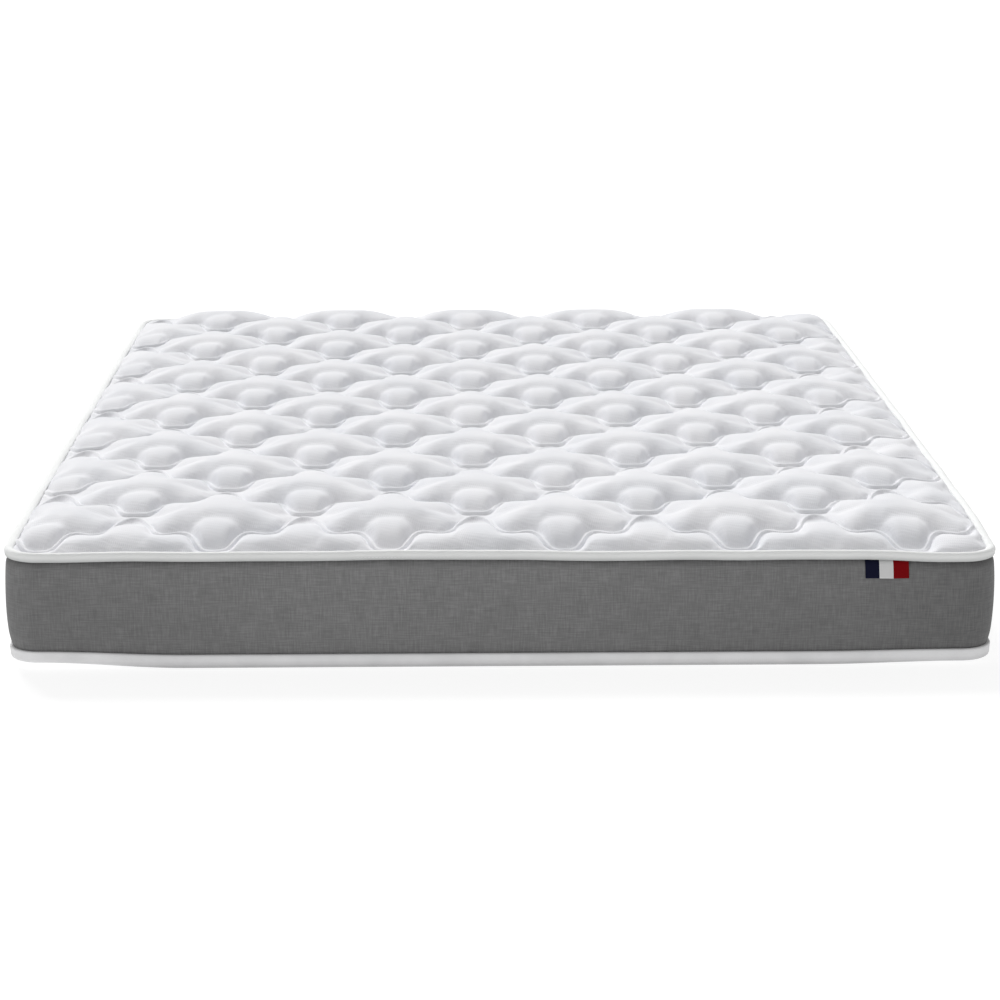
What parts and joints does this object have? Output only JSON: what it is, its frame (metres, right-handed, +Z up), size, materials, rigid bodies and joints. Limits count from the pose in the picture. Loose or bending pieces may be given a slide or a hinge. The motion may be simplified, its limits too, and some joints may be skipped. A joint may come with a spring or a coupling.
{
  "type": "memory foam mattress",
  "caption": "Rectangular foam mattress with a wave-quilted knitted top, taped edge, woven border and plain underside.",
  "frame": {"origin": "centre of the underside, on the surface that the mattress lies on", "axes": "+X across the width, +Y along the length from the foot end to the head end, +Z up through the thickness"},
  "size_m": [1.6, 2, 0.215],
  "materials": {
    "knit_ticking": "white stretch knit, quilted, matte",
    "quilting_thread": "white polyester thread",
    "edge_tape": "off-white woven mattress tape",
    "border_weave": "grey melange plain weave, matte",
    "underside_cloth": "white knitted underside cloth",
    "fibre_wadding": "polyester fibre wadding",
    "scrim": "spunbond nonwoven backing",
    "memory_foam": "viscoelastic polyurethane foam",
    "base_foam": "open-cell polyurethane foam",
    "stripe_ribbon": "woven ribbon in navy, white and red stripes",
    "satin_label": "white satin care label, blank"
  },
  "bodies": {
    "root": {"base_foam": "base_foam", "memory_foam": "memory_foam", "top_scrim": "scrim", "top_wadding": "fibre_wadding", "top_ticking": "knit_ticking", "top_quilting_thread": "quilting_thread", "top_tape": "edge_tape", "top_tape_thread": "quilting_thread", "border_fabric": "border_weave", "border_wadding": "fibre_wadding", "border_scrim": "scrim", "border_closing_thread": "quilting_thread", "bottom_ticking": "underside_cloth", "bottom_seam_thread": "quilting_thread", "bottom_wadding": "fibre_wadding", "bottom_scrim": "scrim", "stripe_label": "stripe_ribbon", "care_label": "satin_label"}
  },
  "joints": []
}
